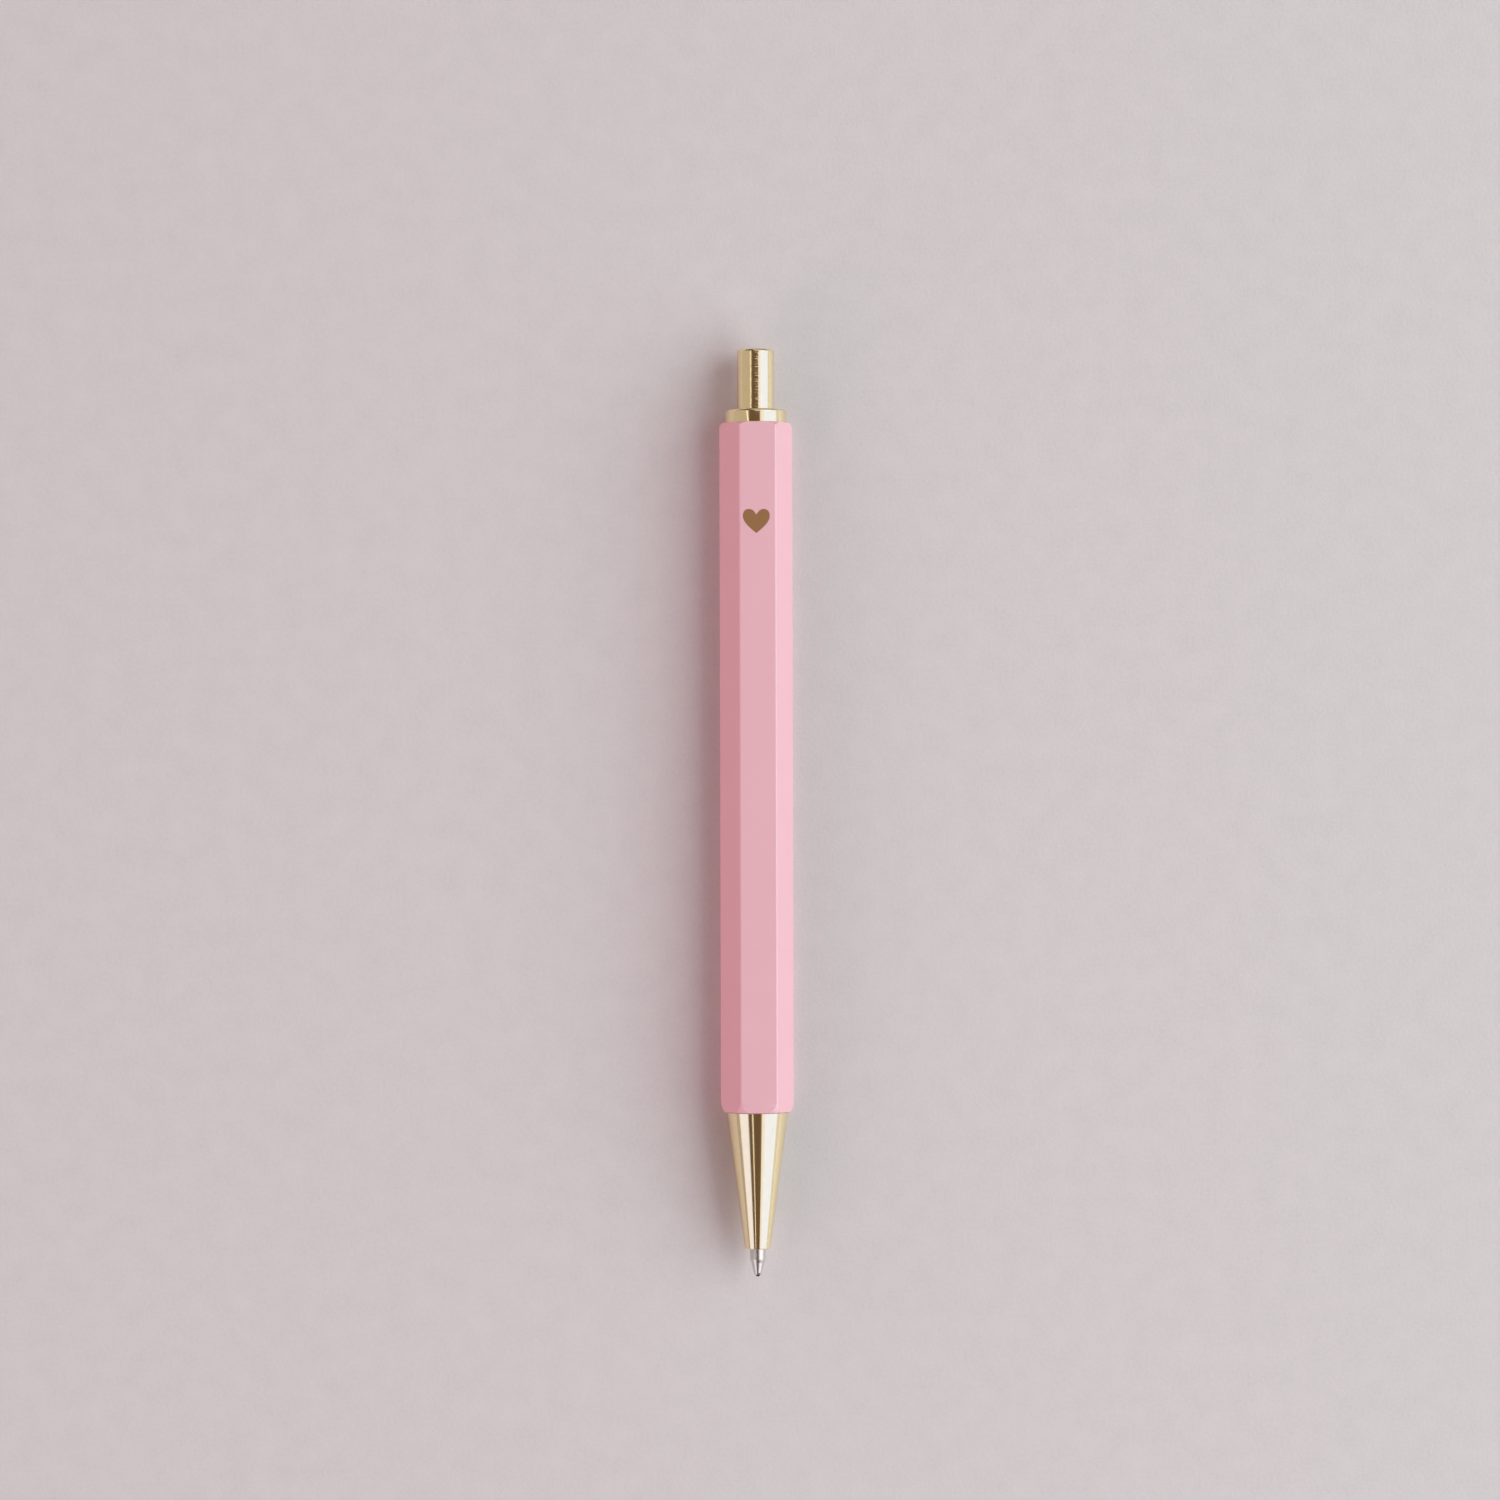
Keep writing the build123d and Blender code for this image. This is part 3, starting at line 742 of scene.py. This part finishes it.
def ink_tube(sizes):
    """Drawn tube with a ring crimped into it behind its front end."""
    front, rear = ends("refill_tube")
    outer = radius_of("refill_tube")
    inner = outer - sizes.tube_wall
    crimp = front + sizes.crimp_place
    dip = sizes.crimp_depth
    corners = [
        (inner, front, 0),
        (outer, front, sizes.edge_break),
        (outer, crimp - 2 * dip, dip),
        (outer - dip, crimp, dip),
        (outer, crimp + 2 * dip, dip),
        (outer, rear, sizes.edge_break),
        (inner, rear, 0),
        (inner, crimp + 2 * dip, 0),
        (inner - dip, crimp, 0),
        (inner, crimp - 2 * dip, 0),
    ]
    return finished("refill_tube_drawn", turned(corners))


def coil_line(sizes):
    """Points along the spring's wire: closed turns at both ends and open turns between."""
    low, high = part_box("return_spring")
    start = low.y + sizes.wire / 2
    end = high.y - sizes.wire / 2
    radius = sizes.neck_radius + (sizes.spring_bore - sizes.neck_radius) / 2
    closed_pitch = sizes.wire * CLOSED_PITCH
    open_pitch = (end - start - 2 * CLOSED_TURNS * closed_pitch) / OPEN_TURNS
    turns = 2 * CLOSED_TURNS + OPEN_TURNS
    points = []
    for i in range(round(turns * COIL_STEPS) + 1):
        turn = i / COIL_STEPS
        front = min(turn, CLOSED_TURNS)
        middle = min(max(turn - CLOSED_TURNS, 0), OPEN_TURNS)
        back = max(turn - CLOSED_TURNS - OPEN_TURNS, 0)
        station = start + (front + back) * closed_pitch + middle * open_pitch
        points.append(around(radius, math.tau * turn, station))
    return points


def return_spring(sizes):
    """Compression spring of round wire, with the wire's two ends capped."""
    line = coil_line(sizes)
    shape = bmesh.new()
    loops = []
    for i, point in enumerate(line):
        along = (line[min(i + 1, len(line) - 1)] - line[max(i - 1, 0)]).normalized()
        out = Vector((point.x, 0, point.z - AXIS_HEIGHT)).normalized()
        side = along.cross(out).normalized()
        out = side.cross(along)
        angles = [math.tau * k / WIRE_SIDES for k in range(WIRE_SIDES)]
        ring = [point + (out * math.cos(a) + side * math.sin(a)) * sizes.wire / 2 for a in angles]
        loops.append([shape.verts.new(p) for p in ring])
    for here, there in zip(loops, loops[1:]):
        for k in range(WIRE_SIDES):
            shape.faces.new((here[k - 1], here[k], there[k], there[k - 1]))
    shape.faces.new(loops[0])
    shape.faces.new(reversed(loops[-1]))
    return finished("return_spring_coiled", shape)


HEART_KNOTS = [
    # place, handle before and handle after, as shares of the half width and of the height
    ((0.0, 0.0), (-0.517, 0.223), (0.517, 0.223)),
    ((1.0, 0.705), (1.0, 0.466), (1.0, 0.902)),
    ((0.55, 1.0), (0.83, 1.0), (0.28, 1.0)),
    ((0.0, 0.768), (0.13, 0.89), (-0.13, 0.89)),
    ((-0.55, 1.0), (-0.28, 1.0), (-0.83, 1.0)),
    ((-1.0, 0.705), (-1.0, 0.902), (-1.0, 0.466)),
]


def heart(sizes):
    """Heart of stamped foil on the top flat, drawn as a curve and given the foil's thickness."""
    curve = bpy.data.curves.new("heart", "CURVE")
    curve.dimensions = "2D"
    curve.fill_mode = "BOTH"
    curve.resolution_u = HEART_STEPS
    curve.extrude = sizes.foil
    spline = curve.splines.new("BEZIER")
    spline.bezier_points.add(len(HEART_KNOTS) - 1)
    spline.use_cyclic_u = True
    scale = Vector((sizes.heart_width / 2, sizes.heart_height, 0))
    for knot, places in zip(spline.bezier_points, HEART_KNOTS):
        co, before, after = [Vector((u, v - 0.5, 0)) * scale for u, v in places]
        knot.handle_left_type = "FREE"
        knot.handle_right_type = "FREE"
        knot.co = co
        knot.handle_left = before
        knot.handle_right = after
    drawn = bpy.data.objects.new("heart", curve)
    bpy.context.scene.collection.objects.link(drawn)
    bpy.context.view_layer.update()
    seen = drawn.evaluated_get(bpy.context.evaluated_depsgraph_get())
    data = bpy.data.meshes.new_from_object(seen)
    bpy.data.objects.remove(drawn)
    top = Vector((-sizes.heart_shift, ends("hex_barrel")[1] - sizes.heart_place, BARREL_HIGH.z))
    data.transform(Matrix.Translation(top))
    piece = bpy.data.objects.new("heart_foil", data)
    bpy.context.scene.collection.objects.link(piece)
    return piece


# Stage


# Bright metal mirrors the lamps, so it has lamps of its own that are dimmer
GOLD_PIECES = ("nose_cone_turned", "end_collar_turned", "push_button_turned")
TIP_PIECES = ("writing_tip_turned",)


def receivers(name, pieces, state):
    """Collection that limits a lamp to these pieces (INCLUDE) or keeps it off them (EXCLUDE)."""
    group = bpy.data.collections.new(name)
    for piece in pieces:
        group.objects.link(bpy.data.objects[piece])
    for member in group.collection_objects:
        member.light_linking.link_state = state
    return group


def soft_lamp(name, place, aim, along, across, shine, lit=None):
    """Rectangular lamp of this brightness, which shines on everything or only as lit says."""
    lamp = bpy.data.lights.new(name, "AREA")
    lamp.shape = "RECTANGLE"
    lamp.size = along
    lamp.size_y = across
    lamp.energy = math.pi * along * across
    lamp.color = shine
    holder = bpy.data.objects.new(name, lamp)
    holder.location = place
    holder.rotation_euler = (aim - place).to_track_quat("-Z", "Y").to_euler()
    holder.visible_camera = False
    holder.light_linking.receiver_collection = lit
    bpy.context.scene.collection.objects.link(holder)
    return holder


def lay_paper(stage):
    """Wide sheet of paper, a hair below the pen."""
    half = 3.0
    below = -10 * MICRON
    data = bpy.data.meshes.new("paper")
    sides = [(-half, -half), (half, -half), (half, half), (-half, half)]
    corners = [(x, y, below) for x, y in sides]
    data.from_pydata(corners, [], [(0, 1, 2, 3)])
    data.materials.append(paper(stage.paper))
    sheet = bpy.data.objects.new("paper", data)
    bpy.context.scene.collection.objects.link(sheet)


# Where the room turns dark above the camera, in degrees across the pen from straight up
DARK_LEFT_OF_BUTTON = (-30, -26)
DARK_LEFT_OF_POINT = (-42, -38)
DARK_RIGHT = (10, 14)

# Where the room changes along the pen, as the part of its direction along Y
POINT_SIDE = (-0.05, -0.15)
FAR_ENDS = (0.45, 0.6)


def across_ramp(tree, slant, bounds):
    """Colour of the room by the angle across the pen, from (degrees, colour) bounds."""
    share = tree.nodes.new("ShaderNodeMapRange")
    share.inputs["From Min"].default_value = -math.pi / 2
    share.inputs["From Max"].default_value = math.pi / 2
    ramp = tree.nodes.new("ShaderNodeValToRGB")
    while len(ramp.color_ramp.elements) < len(bounds):
        ramp.color_ramp.elements.new(0.5)
    for element, (angle, shade) in zip(ramp.color_ramp.elements, bounds):
        element.position = (angle + 90) / 180
        element.color = (*shade, 1)
    tree.links.new(slant, share.inputs["Value"])
    tree.links.new(share.outputs[0], ramp.inputs[0])
    return ramp.outputs[0]


def along_share(tree, value, bounds):
    """Share from 0 to 1 that a value has passed between two bounds."""
    share = tree.nodes.new("ShaderNodeMapRange")
    share.inputs["From Min"].default_value, share.inputs["From Max"].default_value = bounds
    tree.links.new(value, share.inputs["Value"])
    return share.outputs[0]


def light_room(stage):
    """Even light all round, dark above the camera and dim beyond the pen's two ends."""
    world = bpy.data.worlds.new("room")
    world.use_nodes = True
    bpy.context.scene.world = world
    tree = world.node_tree
    place = tree.nodes.new("ShaderNodeTexCoord")
    parts = tree.nodes.new("ShaderNodeSeparateXYZ")
    slant = tree.nodes.new("ShaderNodeMath")
    slant.operation = "ARCTAN2"
    tree.links.new(place.outputs["Generated"], parts.inputs[0])
    tree.links.new(parts.outputs["X"], slant.inputs[0])
    tree.links.new(parts.outputs["Z"], slant.inputs[1])
    right = [*zip(DARK_RIGHT, (stage.overhead, stage.room))]
    by_button = [*zip(DARK_LEFT_OF_BUTTON, (stage.rear_room, stage.overhead)), *right]
    by_point = [*zip(DARK_LEFT_OF_POINT, (stage.room, stage.overhead)), *right]
    sides = tree.nodes.new("ShaderNodeMix")
    sides.data_type = "RGBA"
    tree.links.new(along_share(tree, parts.outputs["Y"], POINT_SIDE), sides.inputs[0])
    tree.links.new(across_ramp(tree, slant.outputs[0], by_button), sides.inputs[MIX_FROM])
    tree.links.new(across_ramp(tree, slant.outputs[0], by_point), sides.inputs[MIX_TO])
    away = tree.nodes.new("ShaderNodeMath")
    away.operation = "ABSOLUTE"
    tree.links.new(parts.outputs["Y"], away.inputs[0])
    whole = tree.nodes.new("ShaderNodeMix")
    whole.data_type = "RGBA"
    whole.inputs[MIX_TO].default_value = (*stage.far, 1)
    tree.links.new(along_share(tree, away.outputs[0], FAR_ENDS), whole.inputs[0])
    tree.links.new(sides.outputs[MIXED], whole.inputs[MIX_FROM])
    tree.links.new(whole.outputs[MIXED], tree.nodes["Background"].inputs["Color"])


# Panes of the soft lamp: from and to, in degrees from straight up towards +X, and brightness
DIM_PANES = [(14, 27, (0.52, 0.58, 0.70)), (78, 88, (0.33, 0.4, 0.4))]
BRIGHT_PANES = [
    (27, 38, (2.3, 2.76, 2.85)),
    (38, 53, (2.22, 2.76, 2.85)),
    (53, 78, (2.24, 2.98, 3.06)),
]
PANE_REACH = 2.0
PANE_LENGTH = 3.2
PANE_AIM = Vector((0, -0.2, AXIS_HEIGHT))


def lamp_pane(name, start, end, shine, lit=None):
    """Pane of the soft lamp between two angles."""
    angle = math.radians(start + end) / 2
    across = 2 * PANE_REACH * math.tan(math.radians(end - start) / 2)
    place = PANE_AIM + Vector((math.sin(angle), 0, math.cos(angle))) * PANE_REACH
    soft_lamp(name, place, PANE_AIM, PANE_LENGTH, across, shine, lit)


def hang_lamps(stage):
    """Large soft lamp on the right, panels on the left and behind, and a strip above."""
    gold = receivers("gold pieces", GOLD_PIECES, "INCLUDE")
    rest = receivers("all but the gold", GOLD_PIECES, "EXCLUDE")
    tip = receivers("tip", TIP_PIECES, "INCLUDE")
    dull = receivers("all but the bright metal", GOLD_PIECES + TIP_PIECES, "EXCLUDE")
    for i, pane in enumerate(DIM_PANES):
        lamp_pane(f"dim pane {i}", *pane)
    for i, pane in enumerate(BRIGHT_PANES):
        lamp_pane(f"bright pane {i}", *pane, dull)
    bright = (BRIGHT_PANES[0][0], BRIGHT_PANES[-1][1])
    lamp_pane("gold's pane", *bright, stage.gold_lamp, gold)
    lamp_pane("tip's pane", *bright, stage.tip_lamp, tip)
    pen = Vector((0, 0, AXIS_HEIGHT))
    # place, length and width of each panel
    pale = ((-0.83, -0.62, 0.64), 0.9, 0.73)
    front = ((-0.80, -0.95, 0.40), 0.75, 0.78)
    behind_rims = ((0.55, 1.3, 0.9), 2.2, 0.9)
    rear = ((-0.88, 0.88, 0.36), 1.0, 0.68)
    panels = [
        ("pale panel", pale, stage.panel, rest),
        ("gold's panel", pale, stage.gold_panel, gold),
        ("front fill", front, stage.front_fill, dull),
        ("tip's fill", front, stage.tip_fill, tip),
        ("rim lamp", behind_rims, stage.rim, gold),
        ("rear fill", rear, stage.rear_fill, dull),
    ]
    for name, (place, along, across), shine, lit in panels:
        soft_lamp(name, Vector(place), pen, along, across, shine, lit)
    above = Vector((-0.625, -0.156, 1.2))
    strip = soft_lamp("strip", above, pen, along=0.09, across=1.4, shine=stage.strip)
    strip.rotation_euler = (0, 0, math.radians(26.3))
    behind = Vector((0.05, 0.46, 1.2))
    below = Vector((behind.x, behind.y, 0))
    soft_lamp("gap behind the camera", behind, below, along=0.36, across=0.34, shine=stage.strip)


# Where the camera looks, from which side, and how it is turned about its own axis
CAMERA_TARGET = Vector((-0.00098, 0.0094, AXIS_HEIGHT))
CAMERA_SIDE = Vector((-0.0406, -0.0074, 0.7743))
CAMERA_ROLL = math.radians(-0.15)
SENSOR_WIDTH = 36


def stand_camera(stage):
    """Camera above the pen, a little to its left, with a lens that takes in the view's width at the
    pen.
    """
    data = bpy.data.cameras.new("camera")
    data.sensor_width = SENSOR_WIDTH
    data.lens = data.sensor_width * stage.camera_distance / stage.view_width
    camera = bpy.data.objects.new("camera", data)
    back = CAMERA_SIDE.normalized()
    right = PEN_AXIS.cross(back).normalized()
    turn = Matrix((right, back.cross(right), back)).transposed()
    roll = Matrix.Rotation(CAMERA_ROLL, 3, "Z")
    camera.location = CAMERA_TARGET + back * stage.camera_distance
    camera.rotation_euler = (turn @ roll).to_euler()
    bpy.context.scene.collection.objects.link(camera)
    bpy.context.scene.camera = camera


# Operators


class PieceOperator(bpy.types.Operator):
    """Base of the operators that build the pen's pieces."""

    bl_options = {"REGISTER", "UNDO"}


class PEN_OT_hex_barrel(PieceOperator):
    """Build the lacquered hexagonal barrel."""

    bl_idname = "pen.hex_barrel"
    bl_label = "Barrel"

    def execute(self, context):
        material = satin_lacquer(context.scene.pen_colours.lacquer)
        fit(hex_barrel(context.scene.pen_sizes), material, "hex_barrel", "barrel")
        return {"FINISHED"}


class PEN_OT_gold_pieces(PieceOperator):
    """Build the gold-plated nose cone, collar and button."""

    bl_idname = "pen.gold_pieces"
    bl_label = "Cone, collar and button"

    def execute(self, context):
        sizes = context.scene.pen_sizes
        gold = context.scene.pen_colours.gold
        polished = gold_plate(
            "polished gold plate", gold, ring_pitch=0.00009, ring_height=0.2 * MICRON, rough=0.10
        )
        ringed = gold_plate(
            "ringed gold plate", gold, ring_pitch=0.00042, ring_height=8.5 * MICRON, rough=0.11
        )
        fit(nose_cone(sizes), polished, "nose_cone", "nose_cone")
        fit(end_collar(sizes), polished, "end_collar", "barrel")
        fit(push_button(sizes), ringed, "push_button", "button")
        return {"FINISHED"}


class PEN_OT_heart(PieceOperator):
    """Lay the foil heart on the barrel's top flat."""

    bl_idname = "pen.heart"
    bl_label = "Foil heart"

    def execute(self, context):
        piece = heart(context.scene.pen_sizes)
        piece.data.materials.clear()
        piece.data.materials.append(gold_foil(context.scene.pen_colours.foil))
        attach(piece, "barrel")
        return {"FINISHED"}


class PEN_OT_writing_point(PieceOperator):
    """Build the writing tip and its ball."""

    bl_idname = "pen.writing_point"
    bl_label = "Tip and ball"

    def execute(self, context):
        colours = context.scene.pen_colours
        metal = turned_metal("nickel silver", colours.nickel_silver, ring_pitch=0.00008, rough=0.25)
        tip = writing_tip(context.scene.pen_sizes)
        fit(tip, metal, "writing_tip", "refill")
        fit(writing_ball(), ball_carbide(colours.carbide), "writing_ball", "ball")
        return {"FINISHED"}


class PEN_OT_refill(PieceOperator):
    """Build the refill's neck and tube, and finish its end plug and ink."""

    bl_idname = "pen.refill"
    bl_label = "Refill"

    def execute(self, context):
        sizes = context.scene.pen_sizes
        colours = context.scene.pen_colours
        plastic = moulded_plastic("refill plastic", colours.refill_plastic)
        steel = drawn_metal("refill steel", colours.refill_steel, rough=0.28)
        fit(refill_neck(sizes), plastic, "refill_nose", "refill")
        fit(ink_tube(sizes), steel, "refill_tube", "refill")
        dress("refill_end_plug", plastic)
        dress("ink_column", wet_ink(colours.ink))
        return {"FINISHED"}


class PEN_OT_return_spring(PieceOperator):
    """Build the return spring, which stretches between the barrel and the refill."""

    bl_idname = "pen.return_spring"
    bl_label = "Return spring"

    def execute(self, context):
        sizes = context.scene.pen_sizes
        piece = return_spring(sizes)
        steel = drawn_metal("spring steel", context.scene.pen_colours.spring_steel, rough=0.25)
        piece.data.materials.append(steel)
        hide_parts("return_spring")
        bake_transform(piece)
        return {"FINISHED"}


class PEN_OT_mechanism(PieceOperator):
    """Finish the moulded pieces of the click mechanism."""

    bl_idname = "pen.mechanism"
    bl_label = "Click mechanism"

    def execute(self, context):
        colours = context.scene.pen_colours
        dress("cam_housing", moulded_plastic("housing plastic", colours.housing_plastic))
        dress("plunger", moulded_plastic("mechanism plastic", colours.mechanism_plastic))
        dress("rotor_cam", moulded_plastic("rotor plastic", colours.rotor_plastic))
        return {"FINISHED"}


class PEN_OT_stage(bpy.types.Operator):
    """Lay the paper, light the pen and stand the camera."""

    bl_idname = "pen.stage"
    bl_label = "Paper, light and camera"

    def execute(self, context):
        stage = context.scene.pen_stage
        context.scene.view_settings.view_transform = "Standard"
        lay_paper(stage)
        light_room(stage)
        hang_lamps(stage)
        stand_camera(stage)
        return {"FINISHED"}


def dress(node, material):
    """Gives a CAD node that keeps its shape a finish of its own."""
    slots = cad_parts[node].data.materials
    slots.clear()
    slots.append(material)


PIECE_OPERATORS = (
    PEN_OT_hex_barrel,
    PEN_OT_gold_pieces,
    PEN_OT_heart,
    PEN_OT_writing_point,
    PEN_OT_refill,
    PEN_OT_return_spring,
    PEN_OT_mechanism,
    PEN_OT_stage,
)


class PEN_PT_pieces(bpy.types.Panel):
    """Lists the pen's pieces in the sidebar."""

    bl_idname = "PEN_PT_pieces"
    bl_label = "Click pen"
    bl_space_type = "VIEW_3D"
    bl_region_type = "UI"
    bl_category = "Pen"

    def draw(self, context):
        for operator in PIECE_OPERATORS:
            self.layout.operator(operator.bl_idname)


CLASSES = (PenSizes, PenColours, PenStage, *PIECE_OPERATORS, PEN_PT_pieces)


def register():
    """Registers the classes and hangs their values on the scene."""
    for item in CLASSES:
        bpy.utils.register_class(item)
    bpy.types.Scene.pen_sizes = PointerProperty(type=PenSizes)
    bpy.types.Scene.pen_colours = PointerProperty(type=PenColours)
    bpy.types.Scene.pen_stage = PointerProperty(type=PenStage)


def unregister():
    """Takes the values off the scene and unregisters the classes."""
    del bpy.types.Scene.pen_stage
    del bpy.types.Scene.pen_colours
    del bpy.types.Scene.pen_sizes
    for item in reversed(CLASSES):
        bpy.utils.unregister_class(item)


def main():
    """Builds the pen and its stage."""
    register()
    bpy.ops.pen.hex_barrel()
    bpy.ops.pen.gold_pieces()
    bpy.ops.pen.heart()
    bpy.ops.pen.writing_point()
    bpy.ops.pen.refill()
    bpy.ops.pen.return_spring()
    bpy.ops.pen.mechanism()
    bpy.ops.pen.stage()


if __name__ == "__main__":
    main()
